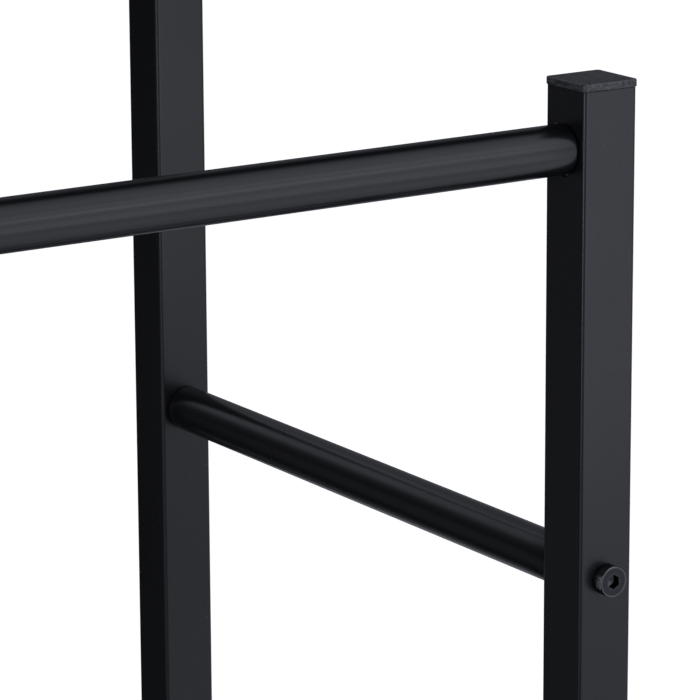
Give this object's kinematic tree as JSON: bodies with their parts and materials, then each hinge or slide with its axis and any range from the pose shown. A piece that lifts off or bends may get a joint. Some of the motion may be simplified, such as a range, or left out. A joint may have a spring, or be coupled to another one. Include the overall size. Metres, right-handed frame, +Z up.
{
  "type": "freestanding towel rack",
  "caption": "Free-standing stepped towel rack: square black posts with plastic caps, two welded frames with round rails, joined by side rails with socket screws.",
  "frame": {"origin": "on the floor at the centre of the footprint", "axes": "+Z up; +X to the right seen from the front; the low front posts at -Y, the tall rear posts at +Y"},
  "size_m": [0.5006, 0.2846, 0.8],
  "materials": {
    "post_paint": "fine matt black powder coat",
    "rail_paint": "fine satin black powder coat",
    "cap_plastic": "moulded black nylon with a fine grain",
    "foot_plastic": "moulded black nylon with a fine grain",
    "screw_steel": "blackened steel, slightly oily",
    "plug_steel": "zinc plate"
  },
  "bodies": {
    "root": {"front_post_left": "post_paint", "top_cap_front_left": "cap_plastic", "foot_front_left": "foot_plastic", "front_post_right": "post_paint", "top_cap_front_right": "cap_plastic", "foot_front_right": "foot_plastic", "rear_post_left": "post_paint", "top_cap_rear_left": "cap_plastic", "foot_rear_left": "foot_plastic", "rear_post_right": "post_paint", "top_cap_rear_right": "cap_plastic", "foot_rear_right": "foot_plastic", "front_towel_rail": "rail_paint", "weld_front_towel_rail_left": "rail_paint", "weld_front_towel_rail_right": "rail_paint", "front_lower_rail": "rail_paint", "weld_front_lower_rail_left": "rail_paint", "weld_front_lower_rail_right": "rail_paint", "rear_towel_rail": "rail_paint", "weld_rear_towel_rail_left": "rail_paint", "weld_rear_towel_rail_right": "rail_paint", "rear_lower_rail": "rail_paint", "weld_rear_lower_rail_left": "rail_paint", "weld_rear_lower_rail_right": "rail_paint", "upper_side_rail_left": "rail_paint", "screw_upper_side_rail_left_front": "screw_steel", "tapped_plug_upper_side_rail_left_front": "plug_steel", "screw_upper_side_rail_left_rear": "screw_steel", "tapped_plug_upper_side_rail_left_rear": "plug_steel", "lower_side_rail_left": "rail_paint", "screw_lower_side_rail_left_front": "screw_steel", "tapped_plug_lower_side_rail_left_front": "plug_steel", "screw_lower_side_rail_left_rear": "screw_steel", "tapped_plug_lower_side_rail_left_rear": "plug_steel", "upper_side_rail_right": "rail_paint", "screw_upper_side_rail_right_front": "screw_steel", "tapped_plug_upper_side_rail_right_front": "plug_steel", "screw_upper_side_rail_right_rear": "screw_steel", "tapped_plug_upper_side_rail_right_rear": "plug_steel", "lower_side_rail_right": "rail_paint", "screw_lower_side_rail_right_front": "screw_steel", "tapped_plug_lower_side_rail_right_front": "plug_steel", "screw_lower_side_rail_right_rear": "screw_steel", "tapped_plug_lower_side_rail_right_rear": "plug_steel"}
  },
  "joints": []
}
